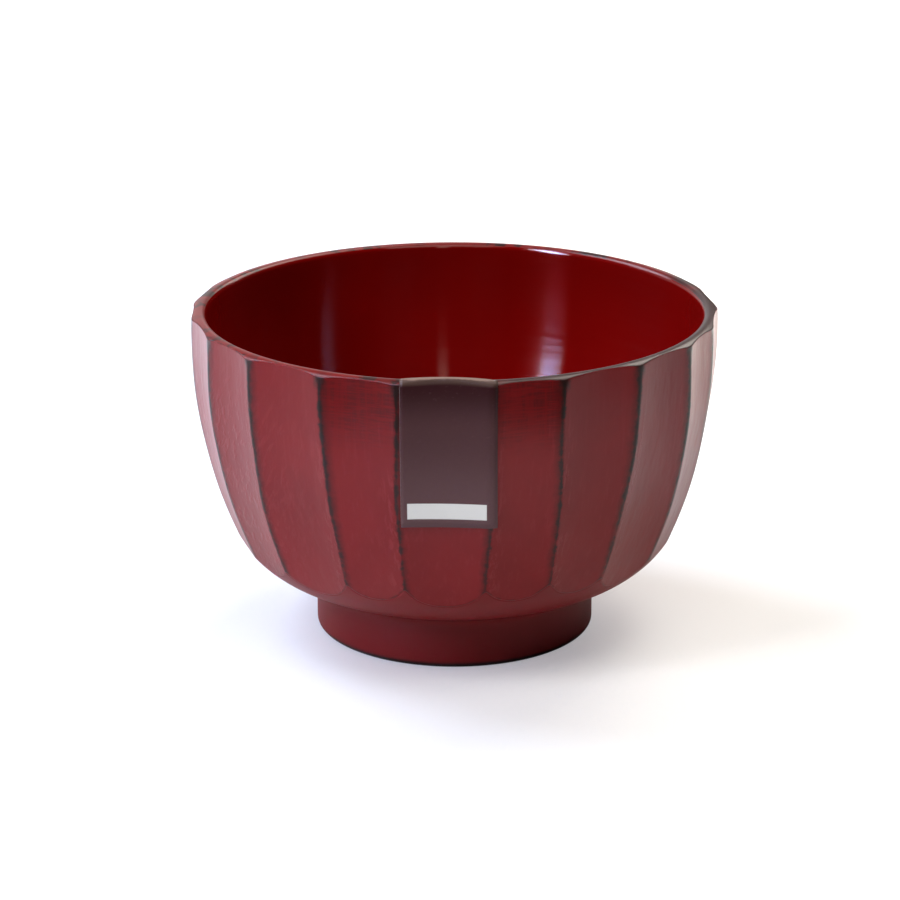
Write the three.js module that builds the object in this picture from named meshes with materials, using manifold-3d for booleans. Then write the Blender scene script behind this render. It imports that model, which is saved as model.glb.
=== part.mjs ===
// Faceted lacquer soup bowl: a turned wooden bowl with a hand-planed wall, and the paper label folded over its rim.
// Millimetres, +Z up. The bowl stands on z = 0 with its axis on Z, and the label faces -Y.
import * as THREE from "three";
import { mergeVertices } from "three/addons/utils/BufferGeometryUtils.js";
import Module from "manifold-3d";

const wasm = await Module();
wasm.setup();

// Wall: the ridges between the facets follow one large arc, upright near the rim.
const HEIGHT = 72.4;
const RIDGE_RADIUS = 57.5; // axis to a ridge where the wall stands upright
const UPRIGHT_DROP = 5.3; // rim crest down to where the wall starts to curve in
const WALL_SWEEP = 112; // radius of the ridges' arc

// Rim: thin and almost flat on top, so that the facets end level on it.
const RIM_THICKNESS = 3.6; // at a ridge
const RIM_INNER_ROUND = 1.3;
const RIM_OUTER_ROUND = 2;
const PLANING_ALLOWANCE = 0.9; // how far the turned blank's rim stood out past the ridges

// Hip: the smooth turned band below the facets, and the cove that leads it into the foot.
const SHOULDER_HEIGHT = 23; // where the ridges run out on the hip
const SHOULDER_BREAK = 8; // degrees that the hip turns in from the ridge line
const HIP_RADIUS = 22;
const COVE_RADIUS = 3;

// Foot ring, hollow underneath.
const FOOT_RADIUS = 30.7;
const FOOT_WALL = 4.5;
const FOOT_OUTER_EDGE = 1.4;
const FOOT_INNER_EDGE = 1;
const RECESS_DEPTH = 8.5;
const RECESS_ROUND = 3;

// Cavity: smooth and round, with a flat floor.
const FLOOR_THICKNESS = 7;
const CAVITY_SWEEP = 104; // radius of the inner wall's arc
const CAVITY_ROUND = 22; // inner wall to floor

// Facets in order, counter-clockwise from above: the angle that each takes up in degrees, and how much deeper
// than its share the plane went, at the rim and at the shoulder.
const FIRST_RIDGE = -95.5; // degrees from the front
const FACETS = [
  [14.5, 0, 0.05], [15.5, 0.1, 0.1], [17.2, 0, 0.1], [20, -0.15, 0], [16.4, -0.1, -0.4], [19.4, 0, -0.3],
  [15.8, -0.1, -0.45], [18.2, 0.15, -0.4], [18.5, 0, 0.4], [14, 0.1, -0.15], [17, 0, 0.1], [18, -0.1, -0.2],
  [15, 0.1, 0], [17, 0, -0.25], [15, 0.15, 0.1], [16, 0, -0.15], [17, -0.1, 0.1], [17.5, 0, -0.2],
  [14, 0.1, 0.05], [13.5, 0.15, -0.1], [15, 0, 0.1], [15.5, 0.1, -0.05],
];
const STROKE_HOLLOW = 70; // radius of the hollow that the plane's round sole leaves across a facet, at the rim
const LABEL_FACET = 5; // the facet that faces the front

// Paper label, stuck on one facet and folded over the rim as far as its crest.
const LABEL_WIDTH = 19.7;
const LABEL_SHIFT = 0.95; // off the middle of its facet
const LABEL_BOTTOM = 40.6; // height of its lower edge
const LABEL_THICKNESS = 0.25;
const LABEL_GLUE = 0.15;

const SEGMENTS = 64;
const STROKE_SEGMENTS = 96;
const CHORD_ERROR = 0.04;
const BEYOND = 10; // overshoot of the cutting solids

const { cos, sin, sqrt, hypot, acos, asin, atan2, tan, ceil, max, abs, PI } = Math;
const { degToRad: rad, mapLinear } = THREE.MathUtils;
const at = (r, z) => new THREE.Vector2(r, z);

// Points of an arc in a profile, as many as the chord error asks for.
function arc(centre, radius, from, to) {
  const steps = max(2, ceil(abs(to - from) / (2 * acos(1 - CHORD_ERROR / radius))));
  return Array.from({ length: steps + 1 }, (_, i) => {
    const a = from + ((to - from) * i) / steps;
    return at(centre.x + radius * cos(a), centre.y + radius * sin(a));
  });
}

function solidOf(geometry) {
  const bare = new THREE.BufferGeometry().setIndex(geometry.index).setAttribute("position", geometry.getAttribute("position"));
  const merged = mergeVertices(bare, 1e-4);
  return new wasm.Manifold(
    new wasm.Mesh({ numProp: 3, vertProperties: merged.attributes.position.array, triVerts: new Uint32Array(merged.index.array) }),
  );
}

// A profile of (radius, height) points turned about Z.
const turned = (profile, segments = SEGMENTS) => solidOf(new THREE.LatheGeometry(profile, segments).rotateX(PI / 2));

const uprightHeight = HEIGHT - UPRIGHT_DROP;
const wallCentre = at(RIDGE_RADIUS - WALL_SWEEP, uprightHeight);
const innerRadius = RIDGE_RADIUS - RIM_THICKNESS;
const crestRadius = innerRadius + RIM_INNER_ROUND;
const floorHeight = RECESS_DEPTH + FLOOR_THICKNESS;

// The ridge line reaches the shoulder leaning in by this much, and the hip takes over with a small break.
const ridgeLean = asin((uprightHeight - SHOULDER_HEIGHT) / WALL_SWEEP);
const shoulder = at(wallCentre.x + WALL_SWEEP * cos(ridgeLean), SHOULDER_HEIGHT);
const hipLean = ridgeLean + rad(SHOULDER_BREAK);
const hipCentre = at(shoulder.x - HIP_RADIUS * cos(hipLean), shoulder.y + HIP_RADIUS * sin(hipLean));

// The cove touches the foot's wall and the hip.
const coveRadius = FOOT_RADIUS + COVE_RADIUS;
const coveCentre = at(coveRadius, hipCentre.y - sqrt((HIP_RADIUS + COVE_RADIUS) ** 2 - (coveRadius - hipCentre.x) ** 2));
const coveTurn = atan2(coveCentre.y - hipCentre.y, coveCentre.x - hipCentre.x);

// The floor's round touches the floor and the inner wall's arc.
const innerCentre = at(innerRadius - CAVITY_SWEEP, uprightHeight);
const roundHeight = floorHeight + CAVITY_ROUND;
const roundCentre = at(
  innerCentre.x + sqrt((CAVITY_SWEEP - CAVITY_ROUND) ** 2 - (innerCentre.y - roundHeight) ** 2),
  roundHeight,
);
const roundTurn = atan2(roundCentre.y - innerCentre.y, roundCentre.x - innerCentre.x);

// Outside of the turned blank above the hip, before planing, from the shoulder up to the crest.
function blankOutside(skin) {
  const blankRadius = RIDGE_RADIUS + PLANING_ALLOWANCE;
  return [
    at(blankRadius + skin, shoulder.y + (blankRadius - shoulder.x) / tan(hipLean)),
    ...arc(at(blankRadius - RIM_OUTER_ROUND, HEIGHT - RIM_OUTER_ROUND), RIM_OUTER_ROUND + skin, 0, PI / 2),
  ];
}

// Whole turned section: recess, foot, cove, hip, blank, rim, inner wall, floor.
function turnedBlank() {
  const recessRadius = FOOT_RADIUS - FOOT_WALL;
  return turned([
    at(0, RECESS_DEPTH),
    ...arc(at(recessRadius - RECESS_ROUND, RECESS_DEPTH - RECESS_ROUND), RECESS_ROUND, PI / 2, 0),
    ...arc(at(recessRadius + FOOT_INNER_EDGE, FOOT_INNER_EDGE), FOOT_INNER_EDGE, PI, 1.5 * PI),
    ...arc(at(FOOT_RADIUS - FOOT_OUTER_EDGE, FOOT_OUTER_EDGE), FOOT_OUTER_EDGE, -PI / 2, 0),
    ...arc(coveCentre, COVE_RADIUS, PI, coveTurn + PI),
    ...arc(hipCentre, HIP_RADIUS, coveTurn, -hipLean),
    ...blankOutside(0),
    ...arc(at(crestRadius, HEIGHT - RIM_INNER_ROUND), RIM_INNER_ROUND, PI / 2, PI),
    ...arc(innerCentre, CAVITY_SWEEP, 0, roundTurn),
    ...arc(roundCentre, CAVITY_ROUND, roundTurn, -PI / 2),
    at(0, floorHeight),
  ]);
}

// Ridge lines in degrees round the bowl, closed however the facets' angles are set.
const fullTurn = FACETS.reduce((sum, [angle]) => sum + angle, 0);
let ridge = FIRST_RIDGE;
const facets = FACETS.map(([angle, rimDepth, shoulderDepth]) => {
  const turn = (angle * 360) / fullTurn;
  const facet = { middle: ridge + turn / 2, half: rad(turn / 2), rimDepth, shoulderDepth };
  ridge += turn;
  return facet;
});

// A flat sheet with an outline of (radius, height) points, as wide as asked, standing across the bowl's wall
// with its middle at an angle from the front, or shifted sideways from there.
function sheet(outline, width, angle, shift = 0) {
  const geometry = new THREE.ExtrudeGeometry(new THREE.Shape(outline), { depth: width, bevelEnabled: false });
  return solidOf(geometry.translate(0, 0, -width / 2 - shift).rotateX(PI / 2)).rotate([0, 0, angle - 90]);
}

const outside = RIDGE_RADIUS + BEYOND;
const above = HEIGHT + BEYOND;

// One stroke of the round-soled plane: hollow across, curved down the wall, running out on the hip. It is turned
// about an axis outside the bowl, and without extra depth it meets both of its ridge lines.
function planeStroke({ middle, half, rimDepth, shoulderDepth }, skin) {
  const axis = RIDGE_RADIUS + STROKE_HOLLOW;
  const runOut = asin((SHOULDER_HEIGHT - BEYOND - uprightHeight) / WALL_SWEEP);
  const sole = arc(wallCentre, WALL_SWEEP, runOut, 0).map((p) => {
    const depth = mapLinear(p.y, SHOULDER_HEIGHT, HEIGHT, shoulderDepth, rimDepth);
    return at(hypot(axis - p.x * cos(half), p.x * sin(half)) + depth - skin, p.y);
  });
  const profile = [at(0, sole[0].y), ...sole, at(sole.at(-1).x, above), at(0, above)];
  return turned(profile, STROKE_SEGMENTS).translate([0, -axis, 0]).rotate([0, 0, middle]);
}

const planed = (blank, skin) => wasm.Manifold.difference([blank, ...facets.map((facet) => planeStroke(facet, skin))]);

// Wall and rim as a full body, grown by `skin`.
const wallForm = (skin) =>
  planed(turned([at(0, SHOULDER_HEIGHT), at(RIDGE_RADIUS, SHOULDER_HEIGHT), ...blankOutside(skin), at(0, HEIGHT + skin)]), skin);

// The label is a thin skin of the wall and rim, trimmed to its width and to where its two ends lie.
function paperLabel() {
  const skin = wallForm(LABEL_GLUE + LABEL_THICKNESS).subtract(wallForm(LABEL_GLUE));
  const outline = [
    at(0, LABEL_BOTTOM),
    at(outside, LABEL_BOTTOM),
    at(outside, above),
    at(crestRadius, above),
    at(crestRadius, uprightHeight),
    at(0, uprightHeight),
  ];
  return skin.intersect(sheet(outline, LABEL_WIDTH, facets[LABEL_FACET].middle, LABEL_SHIFT));
}

function part(name, solid, material) {
  const { vertProperties, triVerts } = solid.getMesh();
  const geometry = new THREE.BufferGeometry()
    .setAttribute("position", new THREE.BufferAttribute(vertProperties, 3))
    .setIndex(new THREE.BufferAttribute(triVerts, 1));
  const mesh = new THREE.Mesh(geometry, new THREE.MeshStandardMaterial(material));
  mesh.name = name;
  return mesh;
}

const bowl = new THREE.Group();
bowl.name = "soup_bowl";
bowl.add(
  part("bowl_body", planed(turnedBlank(), 0), { color: 0x7a2628, roughness: 0.38, metalness: 0 }),
  part("paper_label", paperLabel(), { color: 0x3a2023, roughness: 0.55, metalness: 0 }),
);

export default bowl;
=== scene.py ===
"""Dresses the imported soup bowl: red lacquer rubbed through on hand-planed ridges, and a paper rim label."""
import math
from types import SimpleNamespace

import bpy
import numpy as np
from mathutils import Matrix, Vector


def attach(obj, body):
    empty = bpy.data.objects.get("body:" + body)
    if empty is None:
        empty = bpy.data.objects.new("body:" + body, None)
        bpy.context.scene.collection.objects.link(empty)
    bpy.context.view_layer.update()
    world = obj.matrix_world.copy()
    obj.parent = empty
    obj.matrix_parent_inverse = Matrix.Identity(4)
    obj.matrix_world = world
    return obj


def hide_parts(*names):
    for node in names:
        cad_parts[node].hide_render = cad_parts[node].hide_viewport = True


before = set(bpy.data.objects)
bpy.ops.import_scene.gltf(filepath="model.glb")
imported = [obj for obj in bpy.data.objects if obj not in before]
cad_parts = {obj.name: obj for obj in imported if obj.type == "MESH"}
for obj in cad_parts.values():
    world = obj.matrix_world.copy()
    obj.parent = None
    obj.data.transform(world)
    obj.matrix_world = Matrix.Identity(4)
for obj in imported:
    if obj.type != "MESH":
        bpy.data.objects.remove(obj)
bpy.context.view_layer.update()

MM = 0.001
TURN = 2 * math.pi

# The turned bowl, as the CAD model has it
HEIGHT = 72.4 * MM
RIDGE_RADIUS = 57.5 * MM
UPRIGHT_DROP = 5.3 * MM
WALL_SWEEP = 112 * MM
RIM_THICKNESS = 3.6 * MM
RIM_INNER_ROUND = 1.3 * MM
PLANING_ALLOWANCE = 0.9 * MM
SHOULDER_HEIGHT = 23 * MM
SHOULDER_BREAK = math.radians(8)
HIP_RADIUS = 22 * MM
COVE_RADIUS = 3 * MM
FOOT_RADIUS = 30.7 * MM
FOOT_WALL = 4.5 * MM
FOOT_OUTER_EDGE = 1.4 * MM
FOOT_INNER_EDGE = 1 * MM
RECESS_DEPTH = 8.5 * MM
RECESS_ROUND = 3 * MM
FLOOR_THICKNESS = 7 * MM
CAVITY_ROUND = 22 * MM

# What the CAD model leaves plainer: the rim's top is a gentle crown, and the inside is a little rounder,
# which is what holds the light low in the bowl
RIM_CROWN = 4 * MM
CAVITY_SWEEP = 86 * MM

# The planed facets: where the first ridge is from the front, then each stroke's width and its extra depth at
# the rim and at the shoulder
FIRST_RIDGE = -95.5
FACETS = [
    (14.5, 0, 0.05), (15.5, 0.1, 0.1), (17.2, 0, 0.1), (20, -0.15, 0), (16.4, -0.1, -0.4), (19.4, 0, -0.3),
    (15.8, -0.1, -0.45), (18.2, 0.15, -0.4), (18.5, 0, 0.4), (14, 0.1, -0.15), (17, 0, 0.1), (18, -0.1, -0.2),
    (15, 0.1, 0), (17, 0, -0.25), (15, 0.15, 0.1), (16, 0, -0.15), (17, -0.1, 0.1), (17.5, 0, -0.2),
    (14, 0.1, 0.05), (13.5, 0.15, -0.1), (15, 0, 0.1), (15.5, 0.1, -0.05),
]
STROKE_HOLLOW = 70 * MM
RIDGE_SOFTNESS = 0.22 * MM
RIM_SOFTNESS = 1.2 * MM
RIM_SOFT_REACH = 3 * MM
EDGE_SOFTNESS = 0.1 * MM
PLANE_WAVER = 0.08 * MM
WAVER_LONG = 9 * MM
WAVER_SHORT = 3.7 * MM
WAVER_PHASE = 2.4

# The paper label on one facet
LABEL_FACET = 5
LABEL_WIDTH = 19.7 * MM
LABEL_SHIFT = 0.95 * MM
LABEL_BOTTOM = 40.6 * MM
LABEL_THICKNESS = 0.25 * MM
LABEL_GLUE = 0.15 * MM
LABEL_SOFTNESS = 0.5 * MM
LABEL_BULGE = 0.4 * MM
BULGE_DROP = 1.5 * MM
BULGE_RISE = 1 * MM
STRIP_WIDTH = 16.2 * MM
STRIP_SHIFT = -0.4 * MM
STRIP_BOTTOM = 42.4 * MM
STRIP_TOP = 46.0 * MM
STRIP_EDGE = 0.06 * MM

# How finely the pieces are meshed
COLUMNS_PER_FACET = 20
RIDGE_GATHER = 0.72
WALL_STEP = 1.6 * MM
SCALLOP_STEP = 0.3 * MM
SCALLOP_ABOVE = 4.5 * MM
SCALLOP_BELOW = 1.6 * SCALLOP_ABOVE
HIP_STEP = 1.1 * MM
COVE_STEP = 0.45 * MM
CAVITY_STEP = 2.4 * MM
FLOOR_STEP = 5 * MM
RECESS_STEP = 6 * MM
RECESS_WALL_STEP = 1.5 * MM
RECESS_ROUND_STEP = 0.7 * MM
ROUND_STEP = 0.22 * MM
WELD = 0.002 * MM
INSIDE_MARGIN = 0.1 * MM
LABEL_ROWS = 60
LABEL_ROW_GATHER = 0.7
LABEL_RIM_ROWS = 12
LABEL_COLUMNS = 25
LABEL_TOP_PASSES = 12
FOLD_PASSES = 4

# Where a finish starts and where it is full, as heights on the outside of the bowl
BRUSHED_ZONE = (54 * MM, 67 * MM)
WEAR_ZONE = (20 * MM, 64 * MM)
SCALLOP_ZONE = (40 * MM, 34 * MM)
HIP_UPPER = (30 * MM, 26 * MM)
HIP_LOWER = (10 * MM, 13 * MM)
COVE_UPPER = (13.4 * MM, 12.2 * MM)
COVE_LOWER = (10.4 * MM, 11.6 * MM)
FOOT_ZONE = (12.5 * MM, 9 * MM)
FOOT_BARE_AND_SHADE_ZONE = (1.7 * MM, 0.8 * MM)
RIM_ZONE = (HEIGHT - 4 * MM, HEIGHT - 3 * MM)
RIM_CORNER_ZONE = (HEIGHT - 4 * MM, HEIGHT - 1.2 * MM)
RIM_EDGE_ZONE = (HEIGHT - 5 * MM, HEIGHT - 3 * MM)

# The same by how deep the plane has cut, then by how far a ridge is, then by how far left a point is
FACET_EDGE = (-0.02 * MM, 0.03 * MM)
SCALLOP_LIP = (0.16 * MM, 0.02 * MM)
SCALLOP_FALL = (0.02 * MM, -0.12 * MM)
RIM_EDGE_WIDTH = (0.3 * MM, 0.05 * MM)
TORN_ZONE = (4 * MM, 1 * MM)
CORNER_WEAR = (1.9 * MM, 0.5 * MM)
COMBED_ZONE = (-22 * MM, -42 * MM)

# The rubbed places: dark width on a ridge and what it gains at the top, how far chips and breaks reach, and
# the side of the rim that is worn most, with where its wear starts and how ragged its end is
WEAR_WIDTH = 0.42 * MM
WEAR_GAIN = 0.4 * MM
CHIP_REACH = 1.3 * MM
BREAK_REACH = 1.1 * MM
USED_AZIMUTH = math.radians(62)
USED_ZONE = (10 * MM, 42 * MM)
USED_RAGGED = 90 * MM

# The facets with dark brush strokes at their top, and the slant of the combed grain on the left
BRUSHED_FACETS = (4, 6, 13, 17, 20)
COMB_SLANT = math.radians(-25)

# The label's print: where its top brown ends and where it fades, and where the painted highlight lies on its
# fold and crease above the rim
LABEL_TOP_ZONE = (72 * MM, 62 * MM)
LABEL_FADE_ZONE = (64 * MM, LABEL_BOTTOM)
FOLD_ZONE = (-1.1 * MM, -0.3 * MM)
CREASE_ZONE = (0.18 * MM, 0.36 * MM)
CREASE_FRAY = 0.3 * MM

# How deep the bump of each finish is
OUTSIDE_RELIEF = 0.035 * MM
INSIDE_RELIEF = 0.003 * MM
PAPER_RELIEF = 0.012 * MM

# Colours of the finishes
RED_LACQUER = (0.22, 0.0062, 0.0085, 1)
BRIGHT_LACQUER = (0.255, 0.0085, 0.011, 1)
DRY_LACQUER = (0.31, 0.026, 0.031, 1)
# A deeper red for the tops of the facets, also used as painted shade on the foot
DEEP_LACQUER_AND_SHADE = (0.17, 0.0025, 0.0035, 1)
# The dark red of the brush strokes, also used as painted shade in the cove and beside the ridges
BRUSHED_DARK_AND_SHADE = (0.07, 0.0035, 0.004, 1)
# Painted shade for the downward-facing hip
HIP_SHADE = (0.19, 0.008, 0.01, 1)
RIM_LACQUER = (0.16, 0.01, 0.009, 1)
BLACK_UNDERCOAT = (0.018, 0.008, 0.007, 1)
BOWL_INSIDE = (0.152, 0.0011, 0.0011, 1)
BOWL_INSIDE_WARM = (0.168, 0.0013, 0.0011, 1)
LABEL_TOP_BROWN = (0.032, 0.007, 0.0085, 1)
LABEL_BROWN = (0.088, 0.038, 0.042, 1)
LABEL_FADED = (0.155, 0.082, 0.09, 1)
# Painted highlight on the label's fold and crease
LABEL_FOLD_HIGHLIGHT = (0.085, 0.048, 0.04, 1)
LABEL_CREASE_HIGHLIGHT = (0.21, 0.135, 0.11, 1)
PAPER_WHITE = (0.97, 0.96, 0.96, 1)
PAPER_CORE = (0.62, 0.56, 0.53, 1)
WHITE = (1, 1, 1, 1)
BLACK = (0, 0, 0, 1)

# The table, and its glow: beside the bowl it is weaker, a painted shade, cool on the left and warm on the
# right, rising to white further out
TABLE_SIZE = 8
TABLE_FRONT = 0.19
TABLE_WHITE = (0.62, 0.62, 0.625, 1)
SHADE_GLOW_LEFT = (0.24, 0.26, 0.38, 1)
SHADE_GLOW_RIGHT = (0.395, 0.38, 0.37, 1)
GLOW_SIDES = (-0.08, 0.07)
GLOW_RISE = (0.2, 0.8)
GLOW_MIRRORED = (0.04, 0.13)

# The room that gloss mirrors, as parts of a ray's direction: a white wall behind, and tall windows, each with
# its angle from the front in degrees, half width, colour, and how bright it is beside white
WALL_BEHIND = (0.1, 0.5)
WALL_FOOT = (0, 0.04)
WALL_TOP = (0.44, 0.34)
WALL_RIGHT = (0.2, 0.02)
WINDOW_FOOT = (0.24, 0.32)
WINDOW_TOP = (0.8, 0.7)
WINDOW_FACING = (0, 0.3)
WINDOW_AZIMUTH = -51
WINDOWS = (
    (WINDOW_AZIMUTH, 0.078, (0.3, 0.5, 1, 1), 160),
    (6, 0.035, (1, 0.62, 0.5, 1), 6),
)

# Soft lamps aimed at the bowl: angle from the front and height angle in degrees, size, power and colour
PANEL_DISTANCE = 0.9
PANELS = (
    ("left_panel", -120, 46, (0.45, 0.6), 9.3, (0.74, 0.845, 1)),
    ("tall_window", WINDOW_AZIMUTH, 38, (0.16, 0.5), 4.3, (0.98, 0.98, 1)),
    ("right_panel", 147, 46, (0.45, 0.7), 5.9, (1, 0.94, 0.86)),
    ("ceiling", 10, 65, (0.6, 0.45), 3.5, (1, 0.99, 0.91)),
)

# Lamps over the table, which light what the side facets mirror: the place on the table, power and colour
TABLE_LIGHT_DISTANCE = 0.3
TABLE_LIGHT_ELEVATION = 89
TABLE_LIGHT_SIZE = (0.3, 0.3)
TABLE_LIGHT_SPREAD = math.radians(60)
TABLE_LIGHTS = (
    ("left_table_light", (-0.32, 0.3, 0), 0.9, (0.85, 0.91, 1)),
    ("right_table_light", (0.23, 0.27, 0), 0.85, (1, 0.84, 0.7)),
)

# The camera, fitted to the photograph's rim and foot
CAMERA_TARGET = Vector((0, 0, 39.5 * MM))
CAMERA_DISTANCE = 0.7
CAMERA_ELEVATION = 18.3
CAMERA_LENS = 126.8
CAMERA_SENSOR = 36
CAMERA_SHIFT = -0.0051

# Sizes that follow from the ones above
UPRIGHT_HEIGHT = HEIGHT - UPRIGHT_DROP
INNER_RADIUS = RIDGE_RADIUS - RIM_THICKNESS
CREST_RADIUS = INNER_RADIUS + RIM_INNER_ROUND
BLANK_RADIUS = RIDGE_RADIUS + PLANING_ALLOWANCE
CAVITY_FLOOR = RECESS_DEPTH + FLOOR_THICKNESS
RECESS_RADIUS = FOOT_RADIUS - FOOT_WALL
COLUMNS = COLUMNS_PER_FACET * len(FACETS)

STROKE_AXIS = RIDGE_RADIUS + STROKE_HOLLOW
FACET_TURNS, RIM_DEPTHS, SHOULDER_DEPTHS = np.array(FACETS).T * [[math.radians(1)], [MM], [MM]]
FACET_TURNS *= TURN / FACET_TURNS.sum()
FACET_STARTS = math.radians(FIRST_RIDGE) + np.concatenate(([0], np.cumsum(FACET_TURNS)[:-1]))
FACET_MIDDLES = FACET_STARTS + FACET_TURNS / 2
FACET_PHASES = np.arange(len(FACETS)) * WAVER_PHASE


def ridge_radius(z):
    """The radius of the ridges at a height on the wall."""
    drop = np.maximum(UPRIGHT_HEIGHT - z, 0)
    return RIDGE_RADIUS - WALL_SWEEP + np.sqrt(np.maximum(WALL_SWEEP**2 - drop**2, 0))


def cavity_radius(z):
    """The radius of the inside wall at a height above the cavity's floor round."""
    drop = np.maximum(UPRIGHT_HEIGHT - z, 0)
    return INNER_RADIUS - CAVITY_SWEEP + np.sqrt(np.maximum(CAVITY_SWEEP**2 - drop**2, 0))


def rim_height(r):
    """The height of the rim's top at a radius: a gentle crown that falls away outside the crest."""
    past = np.maximum(r - CREST_RADIUS, 0)
    return HEIGHT - RIM_CROWN + np.sqrt(RIM_CROWN**2 - past**2)


def soft_min(a, b, softness):
    """The smaller of two, with the corner between them rounded."""
    near = np.maximum(softness - np.abs(a - b), 0) / softness
    return np.minimum(a, b) - near**2 * softness / 4


def steps_between(start, end, step):
    """Evenly spaced values after start, up to end, about a step apart."""
    count = max(1, math.ceil(abs(end - start) / step))
    return [start + (end - start) * i / count for i in range(1, count + 1)]


def arc(centre, radius, start, end, step):
    """Points after the start of an arc, with its angles in radians, as radius and height."""
    angles = steps_between(start, end, step / radius)
    return [(centre[0] + radius * math.cos(a), centre[1] + radius * math.sin(a)) for a in angles]


def hip_and_cove():
    """The centre of the hip round, its lean at the shoulder, the cove's centre and where the two meet."""
    drop = UPRIGHT_HEIGHT - SHOULDER_HEIGHT
    lean = math.asin(drop / WALL_SWEEP) + SHOULDER_BREAK
    shoulder = float(ridge_radius(SHOULDER_HEIGHT))
    hip = (shoulder - HIP_RADIUS * math.cos(lean), SHOULDER_HEIGHT + HIP_RADIUS * math.sin(lean))
    cove_radius = FOOT_RADIUS + COVE_RADIUS
    reach = HIP_RADIUS + COVE_RADIUS
    cove = (cove_radius, hip[1] - math.sqrt(reach**2 - (cove_radius - hip[0]) ** 2))
    meeting = math.atan2(cove[1] - hip[1], cove[0] - hip[0])
    return hip, lean, cove, meeting


def foot_profile(cove):
    """The underside and the foot ring's section, from the axis out and up to the cove."""
    quarter = math.pi / 2
    recess = (RECESS_RADIUS - RECESS_ROUND, RECESS_DEPTH - RECESS_ROUND)
    points = [(0, RECESS_DEPTH)]
    points += [(r, RECESS_DEPTH) for r in steps_between(0, recess[0], RECESS_STEP)]
    points += arc(recess, RECESS_ROUND, quarter, 0, RECESS_ROUND_STEP)
    points += [(RECESS_RADIUS, z) for z in steps_between(recess[1], FOOT_INNER_EDGE, RECESS_WALL_STEP)]
    inner_edge = (RECESS_RADIUS + FOOT_INNER_EDGE, FOOT_INNER_EDGE)
    points += arc(inner_edge, FOOT_INNER_EDGE, math.pi, 3 * quarter, ROUND_STEP)
    outer_edge = (FOOT_RADIUS - FOOT_OUTER_EDGE, FOOT_OUTER_EDGE)
    points.append((outer_edge[0], 0))
    points += arc(outer_edge, FOOT_OUTER_EDGE, -quarter, 0, ROUND_STEP)
    points += [(FOOT_RADIUS, z) for z in steps_between(FOOT_OUTER_EDGE, cove[1], HIP_STEP)]
    return points


def cavity_profile():
    """The section of the rim's inner round, the inside wall and the floor, down and in to the axis."""
    quarter = math.pi / 2
    crest = (CREST_RADIUS, HEIGHT - RIM_INNER_ROUND)
    points = arc(crest, RIM_INNER_ROUND, quarter, math.pi, ROUND_STEP)
    points += [(INNER_RADIUS, z) for z in steps_between(crest[1], UPRIGHT_HEIGHT, CAVITY_STEP)]
    sweep = (INNER_RADIUS - CAVITY_SWEEP, UPRIGHT_HEIGHT)
    floor_round = CAVITY_FLOOR + CAVITY_ROUND
    tilt = math.asin((sweep[1] - floor_round) / (CAVITY_SWEEP - CAVITY_ROUND))
    points += arc(sweep, CAVITY_SWEEP, 0, -tilt, CAVITY_STEP)
    corner = (sweep[0] + (CAVITY_SWEEP - CAVITY_ROUND) * math.cos(tilt), floor_round)
    points += arc(corner, CAVITY_ROUND, -tilt, -quarter, CAVITY_STEP)
    points += [(r, CAVITY_FLOOR) for r in steps_between(corner[0], 0, FLOOR_STEP)]
    return points


def turned_profile():
    """The bowl's outline as it comes off the lathe, from under its foot round to its floor."""
    hip, lean, cove, meeting = hip_and_cove()
    points = foot_profile(cove)
    points += arc(cove, COVE_RADIUS, math.pi, math.pi + meeting, COVE_STEP)
    scallop_start = -lean - SCALLOP_BELOW / HIP_RADIUS
    points += arc(hip, HIP_RADIUS, meeting, scallop_start, HIP_STEP)
    points += arc(hip, HIP_RADIUS, scallop_start, -lean, SCALLOP_STEP)
    shoulder = points[-1]
    for rise in steps_between(0, SCALLOP_ABOVE, SCALLOP_STEP):
        points.append((shoulder[0] + rise * math.tan(lean), shoulder[1] + rise))
    rim_edge = float(rim_height(BLANK_RADIUS))
    for z in steps_between(points[-1][1], rim_edge, WALL_STEP):
        points.append((float(ridge_radius(z)) + PLANING_ALLOWANCE, z))
    crown_edge = math.acos((BLANK_RADIUS - CREST_RADIUS) / RIM_CROWN)
    points += arc((CREST_RADIUS, HEIGHT - RIM_CROWN), RIM_CROWN, crown_edge, math.pi / 2, ROUND_STEP)
    return points + cavity_profile()


def spun(name, profile):
    """A closed mesh of a profile drawn from a single vertex and spun round the bowl's axis."""
    bpy.ops.object.select_all(action="DESELECT")
    bpy.ops.mesh.primitive_plane_add(size=MM)
    bpy.context.object.name = name
    bpy.ops.object.mode_set(mode="EDIT")
    bpy.ops.mesh.merge(type="CENTER")
    r, z = profile[0]
    at = Vector((r, 0, z))
    bpy.ops.transform.translate(value=at)
    for r, z in profile[1:]:
        to = Vector((r, 0, z))
        bpy.ops.mesh.extrude_vertices_move(TRANSFORM_OT_translate={"value": to - at})
        at = to
    bpy.ops.mesh.select_all(action="SELECT")
    bpy.ops.mesh.spin(steps=COLUMNS, angle=TURN, center=(0, 0, 0), axis=(0, 0, 1))
    bpy.ops.mesh.select_all(action="SELECT")
    bpy.ops.mesh.remove_doubles(threshold=WELD)
    bpy.ops.mesh.normals_make_consistent(inside=False)
    bpy.ops.object.mode_set(mode="OBJECT")
    bpy.ops.object.shade_smooth()
    return bpy.context.object


def vertices_of(piece):
    """The vertices of a piece as an array."""
    places = np.empty(len(piece.data.vertices) * 3)
    piece.data.vertices.foreach_get("co", places)
    return places.reshape(-1, 3)


def put_vertices(piece, places):
    """Moves the vertices of a piece."""
    piece.data.vertices.foreach_set("co", np.ascontiguousarray(places, dtype=np.float32).ravel())
    piece.data.update()


def note(piece, name, values):
    """Keeps one number for each vertex, for a material to read."""
    layer = piece.data.attributes.new(name, "FLOAT", "POINT")
    layer.data.foreach_set("value", np.asarray(values, dtype=np.float32))


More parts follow.
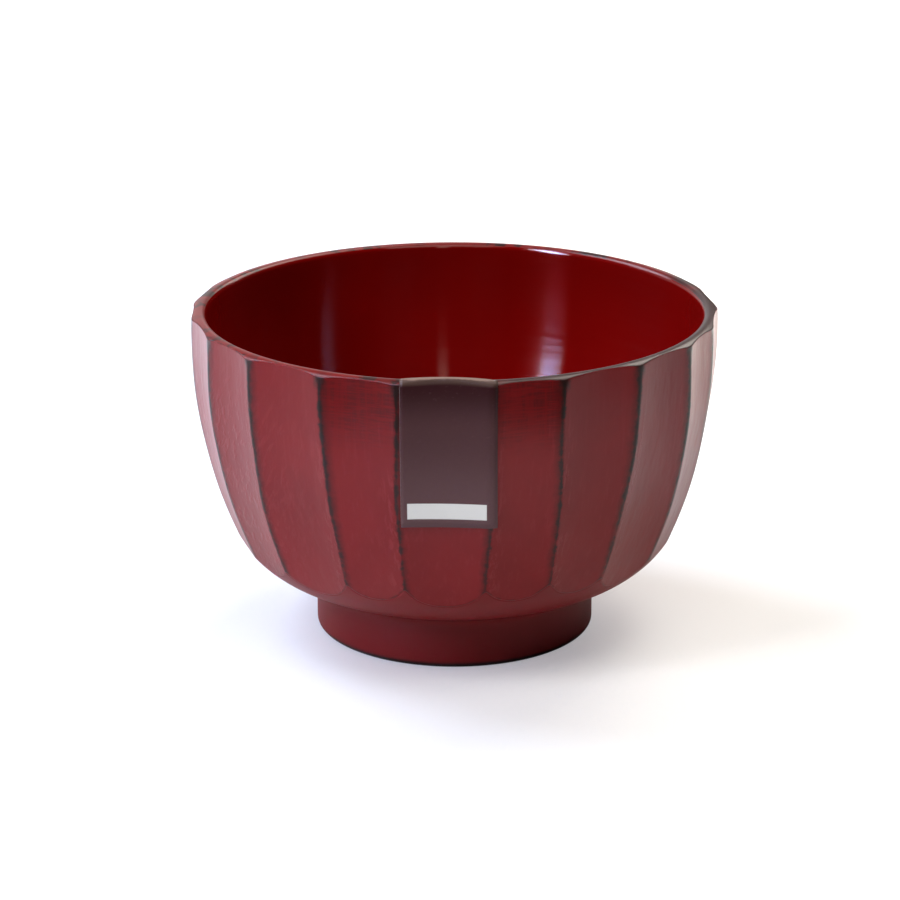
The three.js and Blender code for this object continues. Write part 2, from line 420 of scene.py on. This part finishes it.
def stroke_radius(facet, z):
    """The radius of the hollow that a stroke of the plane leaves, about the stroke's own upright axis."""
    half = FACET_TURNS[facet] / 2
    ridge = ridge_radius(z)
    up = (z - SHOULDER_HEIGHT) / (HEIGHT - SHOULDER_HEIGHT)
    depth = SHOULDER_DEPTHS[facet] + (RIM_DEPTHS[facet] - SHOULDER_DEPTHS[facet]) * up
    return np.hypot(STROKE_AXIS - ridge * np.cos(half), ridge * np.sin(half)) + depth


def facet_radius(facet, angle, z):
    """The radius at which a facet's hollow face lies, at an angle from the front and a height."""
    off = (angle - FACET_MIDDLES[facet] + math.pi) % TURN - math.pi
    phase = FACET_PHASES[facet]
    waver = np.sin(z / WAVER_LONG + phase) + 0.6 * np.sin(z / WAVER_SHORT + 2 * phase)
    hollow = stroke_radius(facet, z) - PLANE_WAVER * waver
    return STROKE_AXIS * np.cos(off) - np.sqrt(hollow**2 - (STROKE_AXIS * np.sin(off)) ** 2)


def planed(bowl):
    """Planes the facets: each vertex of the wall moves in to its facet, and ridges stay a little round."""
    places = vertices_of(bowl)
    turned = np.hypot(places[:, 0], places[:, 1])
    z = places[:, 2]
    column = np.rint(np.arctan2(places[:, 1], places[:, 0]) / TURN * COLUMNS).astype(int) % COLUMNS
    facet = column // COLUMNS_PER_FACET
    share = column % COLUMNS_PER_FACET / COLUMNS_PER_FACET
    share = share - RIDGE_GATHER * np.sin(TURN * share) / TURN
    angle = FACET_STARTS[facet] + share * FACET_TURNS[facet]

    beside = np.array([(facet + step) % len(FACETS) for step in (-1, 0, 1)])
    faces = np.array([facet_radius(f, angle, z) for f in beside])
    order = np.argsort(faces, axis=0)
    nearest = np.take_along_axis(faces, order, axis=0)
    rim = np.clip((z - HEIGHT) / RIM_SOFT_REACH + 1, 0, 1)
    wall = soft_min(nearest[0], nearest[1], RIDGE_SOFTNESS + RIM_SOFTNESS * rim**2)
    radius = np.where(turned > wall - EDGE_SOFTNESS, soft_min(turned, wall, EDGE_SOFTNESS), turned)
    put_vertices(bowl, np.column_stack((radius * np.sin(angle), -radius * np.cos(angle), z)))

    halves = np.take_along_axis(FACET_TURNS[beside] / 2, order, axis=0)
    slopes = np.tan(halves + np.arcsin(RIDGE_RADIUS * np.sin(halves) / STROKE_HOLLOW))
    note(bowl, "from_ridge", (nearest[1] - nearest[0]) / (slopes[0] + slopes[1]))
    note(bowl, "past_scallop", turned - wall)
    own, other = np.take_along_axis(beside, order, axis=0)[:2]
    turned_away = np.abs((FACET_MIDDLES + math.pi) % TURN - math.pi)
    note(bowl, "front_side", turned_away[own] < turned_away[other])
    note(bowl, "brushed", np.isin(own, BRUSHED_FACETS))
    inside = (z > CAVITY_FLOOR - INSIDE_MARGIN) & (turned < cavity_radius(z) + RIM_INNER_ROUND / 3)
    for face in bowl.data.polygons:
        face.material_index = int(inside[list(face.vertices)].all())
    return bowl


def lacquer_bowl():
    """The bowl, turned and then planed."""
    bowl = planed(spun("lacquer_bowl", turned_profile()))
    bowl.data.materials.append(rubbed_lacquer())
    bowl.data.materials.append(turned_lacquer())
    return bowl


def label_path(across):
    """The paper's line up the facet and over the rim, at a place across it, as distance out and height."""
    here, beside = LABEL_FACET, (LABEL_FACET + (1 if across > 0 else -1)) % len(FACETS)
    turn = FACET_MIDDLES[beside] - FACET_MIDDLES[here]

    def out_at(z):
        face = STROKE_AXIS - np.sqrt(stroke_radius(here, z) ** 2 - across**2)
        side = across - STROKE_AXIS * math.sin(turn)
        other = STROKE_AXIS * math.cos(turn) - np.sqrt(stroke_radius(beside, z) ** 2 - side**2)
        return soft_min(face, other, LABEL_SOFTNESS)

    top = HEIGHT
    for _ in range(LABEL_TOP_PASSES):
        top = float(rim_height(math.hypot(float(out_at(top)), across)))
    up = np.linspace(0, 1, LABEL_ROWS) ** LABEL_ROW_GATHER
    face_z = LABEL_BOTTOM + (top - LABEL_BOTTOM) * up
    face_out = out_at(face_z)
    over_out = np.linspace(face_out[-1], CREST_RADIUS, LABEL_RIM_ROWS + 1)[1:]
    over_z = rim_height(np.hypot(over_out, across))
    return np.concatenate((face_out, over_out)), np.concatenate((face_z, over_z))


def folded_sheet(across):
    """How far out and how high the label's paper is, for each place across it and each row up and over."""
    paths = [label_path(a) for a in across]
    out = np.array([path[0] for path in paths])
    up = np.array([path[1] for path in paths])
    for line in (out, up):
        for _ in range(FOLD_PASSES):
            line[:, 1:-1] = (line[:, :-2] + 2 * line[:, 1:-1] + line[:, 2:]) / 4
    run = np.stack((np.gradient(out, axis=1), np.gradient(up, axis=1)))
    run /= np.linalg.norm(run, axis=0)
    out, up = out + run[1] * LABEL_GLUE, up - run[0] * LABEL_GLUE
    from_middle = (across - LABEL_SHIFT) / (LABEL_WIDTH / 2)
    by_fold = np.clip((up - HEIGHT + BULGE_DROP) / BULGE_RISE, 0, 1)
    up += LABEL_BULGE * (1 - from_middle**2)[:, None] * by_fold**2
    return out, up


def rim_label():
    """The paper label: a grid laid up the facet and folded over the rim, then given its thickness."""
    rows = LABEL_ROWS + LABEL_RIM_ROWS
    bpy.ops.object.select_all(action="DESELECT")
    bpy.ops.mesh.primitive_grid_add(x_subdivisions=LABEL_COLUMNS - 1, y_subdivisions=rows - 1, size=1)
    label = bpy.context.object
    label.name = "rim_label"
    grid = vertices_of(label)
    column = np.rint((grid[:, 0] + 0.5) * (LABEL_COLUMNS - 1)).astype(int)
    row = np.rint((grid[:, 1] + 0.5) * (rows - 1)).astype(int)
    across = np.linspace(-0.5, 0.5, LABEL_COLUMNS) * LABEL_WIDTH + LABEL_SHIFT
    out, up = folded_sheet(across)
    middle = FACET_MIDDLES[LABEL_FACET]
    outward = np.array((math.sin(middle), -math.cos(middle)))
    sideways = np.array((math.cos(middle), math.sin(middle)))
    flat = out[column, row][:, None] * outward + across[column][:, None] * sideways
    put_vertices(label, np.column_stack((flat, up[column, row])))
    bpy.ops.object.shade_smooth()
    label.data.materials.append(printed_paper())
    label.data.materials.append(paper_edge())
    sheet = label.modifiers.new("sheet", "SOLIDIFY")
    sheet.thickness = LABEL_THICKNESS
    sheet.offset = 1
    sheet.material_offset_rim = 1
    bpy.ops.object.modifier_apply(modifier=sheet.name)
    return label


class Value:
    """A socket in a finish, which adds a Math node for each sign in an expression."""

    def __init__(self, finish, socket):
        self.finish, self.socket = finish, socket

    def __add__(self, other):
        return self.finish.math("ADD", self, other)

    def __sub__(self, other):
        return self.finish.math("SUBTRACT", self, other)

    def __rsub__(self, other):
        return self.finish.math("SUBTRACT", other, self)

    def __mul__(self, other):
        return self.finish.math("MULTIPLY", self, other)

    def __truediv__(self, other):
        return self.finish.math("DIVIDE", self, other)

    __radd__ = __add__
    __rmul__ = __mul__


class Finish:
    """A material or the world, and the nodes that make its look."""

    def __init__(self, owner, shader="Principled BSDF"):
        owner.use_nodes = True
        self.owner = owner
        self.tree = owner.node_tree
        self.shader = self.tree.nodes[shader]

    def set(self, node, sockets):
        """Sets or links the sockets of a node."""
        for key, value in sockets.items():
            socket = node.inputs[key]
            if isinstance(value, Value):
                self.tree.links.new(value.socket, socket)
            else:
                socket.default_value = value

    def add(self, kind, settings=None, sockets=None, output=0):
        """Adds a node with its settings, then its sockets, and gives one of its outputs."""
        node = self.tree.nodes.new(kind)
        for key, value in (settings or {}).items():
            setattr(node, key, value)
        self.set(node, sockets or {})
        return Value(self, node.outputs[output])

    def math(self, operation, a, b=0.0):
        return self.add("ShaderNodeMath", {"operation": operation}, {0: a, 1: b})

    def size(self, value):
        """A value without its sign."""
        return self.math("ABSOLUTE", value)

    def larger(self, a, b):
        return self.math("MAXIMUM", a, b)

    def between(self, value, low, high):
        """0 below low and 1 above high, with a smooth step between; low may be the higher of the two."""
        return self.add(
            "ShaderNodeMapRange",
            {"interpolation_type": "SMOOTHSTEP"},
            {"Value": value, "From Min": low, "From Max": high},
        )

    def mix(self, factor, a, b):
        """A colour between two."""
        return self.add(
            "ShaderNodeMix", {"data_type": "RGBA"}, {"Factor": factor, 6: a, 7: b}, output=2
        )

    def attribute(self, name):
        return self.add("ShaderNodeAttribute", {"attribute_name": name}, output="Fac")

    def light(self, kind):
        return self.add("ShaderNodeLightPath", output=kind)

    def passed_on(self):
        """1 for a ray that a glossy or clear surface passes on, and 0 for others."""
        return self.light("Is Glossy Ray") + self.light("Is Transmission Ray")

    def place(self):
        return self.add("ShaderNodeTexCoord", output="Object")

    def parts(self, vector):
        """The X, Y and Z of a vector."""
        x = self.add("ShaderNodeSeparateXYZ", sockets={0: vector})
        return [Value(self, output) for output in x.socket.node.outputs]

    def turned(self, vector, rotation):
        return self.add("ShaderNodeMapping", sockets={"Vector": vector, "Rotation": rotation})

    def stretched(self, vector, scale):
        """A place with each of its axes scaled."""
        return self.add("ShaderNodeVectorMath", {"operation": "MULTIPLY"}, {0: vector, 1: scale})

    def noise(self, vector, scale, detail=2.0, roughness=0.5):
        return self.add(
            "ShaderNodeTexNoise",
            sockets={"Vector": vector, "Scale": scale, "Detail": detail, "Roughness": roughness},
        )

    def streaks(self, vector, scales, detail=2.0, roughness=0.5):
        """Noise drawn out along some axes."""
        return self.noise(self.stretched(vector, scales), 1, detail, roughness)

    def bump(self, height, distance):
        return self.add("ShaderNodeBump", sockets={"Height": height, "Distance": distance})


def outside_places(finish):
    """Where a point is on the outside of the bowl: lengths, and how much it is in each zone, from 0 to 1."""
    on = SimpleNamespace()
    on.place = finish.place()
    on.x, on.y, on.height = finish.parts(on.place)
    on.from_ridge = finish.attribute("from_ridge")
    on.past_scallop = finish.attribute("past_scallop")
    on.front_side = finish.attribute("front_side")
    on.brushed = finish.attribute("brushed")
    on.facet = finish.between(on.past_scallop, *FACET_EDGE)
    on.upper = finish.between(on.height, *BRUSHED_ZONE)
    on.scallops = finish.between(on.height, *SCALLOP_ZONE)
    off_facet = 1 - on.facet
    on.hip = off_facet * finish.between(on.height, *HIP_UPPER) * finish.between(on.height, *HIP_LOWER)
    on.cove = finish.between(on.height, *COVE_LOWER) * finish.between(on.height, *COVE_UPPER)
    on.foot = finish.between(on.height, *FOOT_ZONE)
    on.rim = off_facet * finish.between(on.height, *RIM_ZONE)
    rim_edge = finish.between(finish.size(on.past_scallop), *RIM_EDGE_WIDTH)
    on.rim_edge = rim_edge * finish.between(on.height, *RIM_EDGE_ZONE)
    return on


def lacquer_marks(finish, on):
    """The marks in the lacquer, from broad patches to fine grain, and the dry, torn and combed streaks."""
    marks = SimpleNamespace()
    marks.patch = finish.noise(on.place, 55, 3)
    marks.breaks = finish.noise(on.place, 420, 2)
    marks.chips = finish.noise(on.place, 800, 4, 0.7)
    marks.grain = finish.noise(on.place, 1500, 3, 0.6)
    marks.across = finish.streaks(on.place, (170, 170, 2700), 4, 0.65)
    marks.downward = finish.streaks(on.place, (1000, 1000, 60), 4, 0.65)
    marks.dents = finish.streaks(on.place, (260, 260, 90), 2)
    marks.dry = finish.between(marks.downward, 0.5, 0.75) * on.facet * (1 - 0.6 * on.upper)
    torn = finish.between(marks.downward + (marks.grain - 0.5) * 0.3, 0.52, 0.62)
    torn = torn * finish.between(on.from_ridge, *TORN_ZONE)
    marks.torn = torn * on.facet * (1 - on.front_side) * (1 - on.upper)
    slanted = finish.streaks(finish.turned(on.place, (0, COMB_SLANT, 0)), (900, 500, 110), 3, 0.6)
    combed = finish.between(slanted, 0.5, 0.66) * finish.between(on.x, *COMBED_ZONE)
    marks.combed = combed * on.facet * (1 - 0.7 * on.upper)
    return marks


def brushed_colour(finish, on, marks):
    """The reds of the facets, hip, foot and rim, before the wear, with painted shade on the hip, the foot and
    the cove.
    """
    colour = finish.mix(finish.between(marks.patch, 0.3, 0.72), RED_LACQUER, BRIGHT_LACQUER)
    top = on.upper * on.facet
    colour = finish.mix(top * (0.3 + 0.4 * on.brushed), colour, DEEP_LACQUER_AND_SHADE)
    strokes = finish.between(marks.across, 0.62, 0.42) * top * on.brushed
    strokes = strokes * (0.35 + 0.65 * finish.between(marks.downward, 0.42, 0.56))
    colour = finish.mix(strokes * 0.8, colour, BRUSHED_DARK_AND_SHADE)
    colour = finish.mix(marks.dry * 0.4, colour, DRY_LACQUER)
    colour = finish.mix(marks.torn * 0.6 + marks.combed * 0.35, colour, DRY_LACQUER)
    # A darker, greyer red on the downward-facing hip: painted shade.
    colour = finish.mix(on.hip * 0.6, colour, HIP_SHADE)
    # The foot is darker: painted shade under the hip.
    colour = finish.mix(on.foot, colour, DEEP_LACQUER_AND_SHADE)
    # Painted shade in the cove where the foot meets the body's underside.
    colour = finish.mix(on.cove * 0.6, colour, BRUSHED_DARK_AND_SHADE)
    colour = finish.mix(on.rim, colour, RIM_LACQUER)
    lip = finish.between(on.past_scallop, *SCALLOP_LIP) * on.facet * on.scallops
    return finish.mix(lip * finish.between(marks.breaks, 0.35, 0.6) * 0.7, colour, BRUSHED_DARK_AND_SHADE)


def ridge_wear(finish, on, marks):
    """Where ridges are rubbed through, the darker band beside that, and the rubbed corners at the rim; the
    first two are wider on the side of each ridge that faces the front, which is painted shade.
    """
    top_down = finish.between(on.height, *WEAR_ZONE)
    # Wider on the side of each ridge that faces the front: painted shade.
    width = (WEAR_WIDTH + WEAR_GAIN * top_down) * (0.4 + 0.8 * on.front_side)
    width = width * (0.3 + 1.4 * marks.patch)
    ragged = on.from_ridge + (marks.chips - 0.5) * CHIP_REACH + (marks.breaks - 0.5) * BREAK_REACH
    worn_and_shade = finish.between(ragged, width * 1.2, width * 0.1) * on.facet * (0.72 + 0.28 * top_down)
    halo_and_shade = finish.between(ragged, width * 2.6, width * 0.6) * on.facet
    corner = finish.between(on.height, *RIM_CORNER_ZONE) * (0.3 + 0.7 * on.facet)
    return worn_and_shade, halo_and_shade, corner * finish.between(ragged, *CORNER_WEAR)


def rim_wear(finish, on, marks):
    """Where the rim is rubbed bare: along the side that is used most, and in patches all round."""
    used = on.x * math.sin(USED_AZIMUTH) - on.y * math.cos(USED_AZIMUTH)
    used = finish.between(used + (marks.patch - 0.5) * USED_RAGGED, *USED_ZONE)
    patches = finish.between(marks.breaks * 0.5 + marks.patch * 0.5, 0.53, 0.6)
    return finish.larger(used, patches) * on.rim


def rubbed_lacquer():
    """Red lacquer over black on the outside: brushed on the facets, rubbed through on the ridges and rim,
    with painted shade on the hip, foot and cove and beside the ridges.
    """
    finish = Finish(bpy.data.materials.new("rubbed_lacquer"))
    on = outside_places(finish)
    marks = lacquer_marks(finish, on)
    worn_and_shade, halo_and_shade, corner = ridge_wear(finish, on, marks)
    # A darker band beside each ridge, widened on the side facing the front as painted shade.
    colour = finish.mix(halo_and_shade * 0.55, brushed_colour(finish, on, marks), BRUSHED_DARK_AND_SHADE)
    bare = finish.larger(worn_and_shade, corner * 0.9)
    bare = finish.larger(bare, rim_wear(finish, on, marks) * 0.92)
    # The black band at the foot's base: rubbed through where it stands, and partly painted contact shadow.
    bare = finish.larger(bare, finish.between(on.height, *FOOT_BARE_AND_SHADE_ZONE))
    bare = finish.larger(bare, on.rim_edge * finish.between(marks.chips, 0.4, 0.6) * 0.9)
    colour = finish.mix(bare, colour, BLACK_UNDERCOAT)

    rough = 0.3 + 0.08 * marks.dry + 0.12 * (marks.patch - 0.5)
    rough = rough + 0.1 * on.hip + 0.22 * on.foot + 0.3 * on.rim_edge
    relief = marks.across * on.upper * 0.6 + marks.downward * 0.4 + marks.dents * 3
    relief = (relief + marks.torn * 0.5 + marks.combed * 0.8) * on.facet
    relief = relief + 2.5 * finish.between(on.past_scallop, *SCALLOP_FALL) * on.scallops
    normal = finish.bump(relief + marks.grain * 0.25 - worn_and_shade * 0.6, OUTSIDE_RELIEF)
    finish.set(
        finish.shader,
        {"Base Color": colour, "Roughness": rough, "Normal": normal, "IOR": 1.33},
    )
    return finish.owner


def turned_lacquer():
    """The deep red inside, whose fine turning lines draw each light out into an upright streak."""
    finish = Finish(bpy.data.materials.new("turned_lacquer"))
    place = finish.place()
    cloud = finish.noise(place, 30, 2)
    turning = finish.streaks(place, (14, 14, 2400), 3, 0.6)
    finish.set(
        finish.shader,
        {
            "Base Color": finish.mix(finish.between(cloud, 0.35, 0.65), BOWL_INSIDE, BOWL_INSIDE_WARM),
            "Roughness": 0.137 + 0.2 * (turning - 0.5),
            "Normal": finish.bump(turning, INSIDE_RELIEF),
            "IOR": 1.3,
            "Anisotropic": 1.0,
            "Anisotropic Rotation": 0.25,
        },
    )
    return finish.owner


def printed_paper():
    """The label's satin brown print, paler towards its foot, with one blank white strip, and a painted
    highlight on its fold over the rim.
    """
    finish = Finish(bpy.data.materials.new("printed_paper"))
    place = finish.turned(finish.place(), (0, 0, -FACET_MIDDLES[LABEL_FACET]))
    across, _, height = finish.parts(place)
    fibre = finish.streaks(place, (900, 900, 1400), 4, 0.6)
    colour = finish.mix(finish.between(height, *LABEL_TOP_ZONE), LABEL_TOP_BROWN, LABEL_BROWN)
    colour = finish.mix(finish.between(height, *LABEL_FADE_ZONE), colour, LABEL_FADED)
    colour = finish.mix(finish.between(fibre, 0.58, 0.8) * 0.3, colour, LABEL_FADED)
    sideways = finish.size(across - (LABEL_SHIFT + STRIP_SHIFT))
    strip = finish.between(sideways, STRIP_WIDTH / 2 + STRIP_EDGE, STRIP_WIDTH / 2)
    strip = strip * finish.between(height, STRIP_BOTTOM, STRIP_BOTTOM + STRIP_EDGE)
    strip = strip * finish.between(height, STRIP_TOP + STRIP_EDGE, STRIP_TOP)
    colour = finish.mix(strip, colour, PAPER_WHITE)
    from_side = 1 - finish.size(across - LABEL_SHIFT) / (LABEL_WIDTH / 2)
    over = height - HEIGHT - LABEL_BULGE * finish.between(from_side, 0, 1)
    # Painted highlight on the fold over the rim, paler along its frayed crease.
    colour = finish.mix(finish.between(over, *FOLD_ZONE), colour, LABEL_FOLD_HIGHLIGHT)
    crease = finish.between(over + (fibre - 0.5) * CREASE_FRAY, *CREASE_ZONE)
    colour = finish.mix(crease, colour, LABEL_CREASE_HIGHLIGHT)
    finish.set(
        finish.shader,
        {
            "Base Color": colour,
            "Roughness": 0.42 + 0.12 * fibre,
            "Normal": finish.bump(fibre, PAPER_RELIEF),
            "IOR": 1.2,
        },
    )
    return finish.owner


def paper_edge():
    """The pale cut edge of the label's paper."""
    finish = Finish(bpy.data.materials.new("paper_edge"))
    fibre = finish.noise(finish.place(), 2500, 3)
    colour = finish.mix(fibre, PAPER_CORE, PAPER_WHITE)
    finish.set(finish.shader, {"Base Color": colour, "Roughness": 0.8})
    return finish.owner


def white_table():
    """A white finish with a glow to the camera, weaker and tinted beside the bowl as a painted shade, which
    gloss mirrors only away from the bowl's foot.
    """
    finish = Finish(bpy.data.materials.new("white_table"))
    place = finish.place()
    sideways = finish.parts(place)[0]
    reach = finish.add("ShaderNodeVectorMath", {"operation": "LENGTH"}, {0: place}, output="Value")
    # Painted shade beside the bowl: a weaker glow, cool on the left and warm on the right, rising to white
    # further out.
    glow = finish.mix(finish.between(sideways, *GLOW_SIDES), SHADE_GLOW_LEFT, SHADE_GLOW_RIGHT)
    glow = finish.mix(finish.between(reach, *GLOW_RISE), glow, WHITE)
    seen = finish.light("Is Camera Ray") + finish.passed_on() * finish.between(reach, *GLOW_MIRRORED)
    finish.set(
        finish.shader,
        {
            "Base Color": TABLE_WHITE,
            "Roughness": 0.6,
            "IOR": 1.2,
            "Emission Color": finish.mix(seen, BLACK, glow),
            "Emission Strength": 1,
        },
    )
    return finish.owner


def table():
    """The table, which ends a little in front of the bowl."""
    bpy.ops.object.select_all(action="DESELECT")
    bpy.ops.mesh.primitive_plane_add(size=TABLE_SIZE)
    top = bpy.context.object
    top.name = "table"
    bpy.ops.object.mode_set(mode="EDIT")
    bpy.ops.transform.translate(value=(0, TABLE_SIZE / 2 - TABLE_FRONT, 0))
    bpy.ops.object.mode_set(mode="OBJECT")
    top.data.materials.append(white_table())


def pale_room():
    """A room that gives no light: white to the camera, and to gloss a white wall behind and the windows."""
    world = bpy.data.worlds.new("pale_room")
    bpy.context.scene.world = world
    finish = Finish(world, "Background")
    x, y, height = finish.parts(finish.add("ShaderNodeTexCoord", output="Generated"))
    wall = finish.between(y, *WALL_BEHIND) * finish.between(x, *WALL_RIGHT)
    mirrored = wall * finish.between(height, *WALL_FOOT) * finish.between(height, *WALL_TOP)
    tall = finish.between(height, *WINDOW_FOOT) * finish.between(height, *WINDOW_TOP)
    colour = WHITE
    for azimuth, half_width, tint, brightness in WINDOWS:
        a = math.radians(azimuth)
        towards = x * math.sin(a) - y * math.cos(a)
        sideways = finish.size(x * math.cos(a) + y * math.sin(a))
        window = finish.between(sideways, 1.5 * half_width, 0.5 * half_width)
        window = window * finish.between(towards, *WINDOW_FACING) * tall
        colour = finish.mix(window, colour, tint)
        mirrored = mirrored + window * brightness
    seen = finish.light("Is Camera Ray") + finish.passed_on() * mirrored
    finish.set(finish.shader, {"Color": colour, "Strength": seen})


def way_to(azimuth, elevation):
    """The direction at an angle from the front and a height angle, in degrees."""
    a, e = math.radians(azimuth), math.radians(elevation)
    return Vector((math.sin(a) * math.cos(e), -math.cos(a) * math.cos(e), math.sin(e)))


def hold(name, data, aim, way, distance):
    """Puts a lamp or the camera at a distance from what it is aimed at."""
    holder = bpy.data.objects.new(name, data)
    holder.location = aim + way * distance
    holder.rotation_euler = way.to_track_quat("Z", "Y").to_euler()
    bpy.context.collection.objects.link(holder)
    return holder


def soft_lamp(name, size, power, colour):
    """A lamp with a rectangle of soft light."""
    lamp = bpy.data.lights.new(name, "AREA")
    lamp.shape = "RECTANGLE"
    lamp.size, lamp.size_y = size
    lamp.energy = power
    lamp.color = colour
    return lamp


def lamps():
    """The panels round the bowl, and the two lights over the table."""
    for name, azimuth, elevation, size, power, colour in PANELS:
        panel = soft_lamp(name, size, power, colour)
        hold(name, panel, CAMERA_TARGET, way_to(azimuth, elevation), PANEL_DISTANCE)
    for name, place, power, colour in TABLE_LIGHTS:
        light = soft_lamp(name, TABLE_LIGHT_SIZE, power, colour)
        light.spread = TABLE_LIGHT_SPREAD
        hold(name, light, Vector(place), way_to(0, TABLE_LIGHT_ELEVATION), TABLE_LIGHT_DISTANCE)


def camera():
    """The photograph's view."""
    view = bpy.data.cameras.new("view")
    view.lens = CAMERA_LENS
    view.sensor_width = CAMERA_SENSOR
    view.shift_x = CAMERA_SHIFT
    holder = hold("view", view, CAMERA_TARGET, way_to(0, CAMERA_ELEVATION), CAMERA_DISTANCE)
    bpy.context.scene.camera = holder


camera()
for piece, node, slot in (
    (lacquer_bowl(), "bowl_body", "lacquered_wood"),
    (rim_label(), "paper_label", "label_paper"),
):
    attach(piece, "root")
    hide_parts(node)

table()
pale_room()
lamps()
bpy.context.scene.view_settings.view_transform = "Standard"
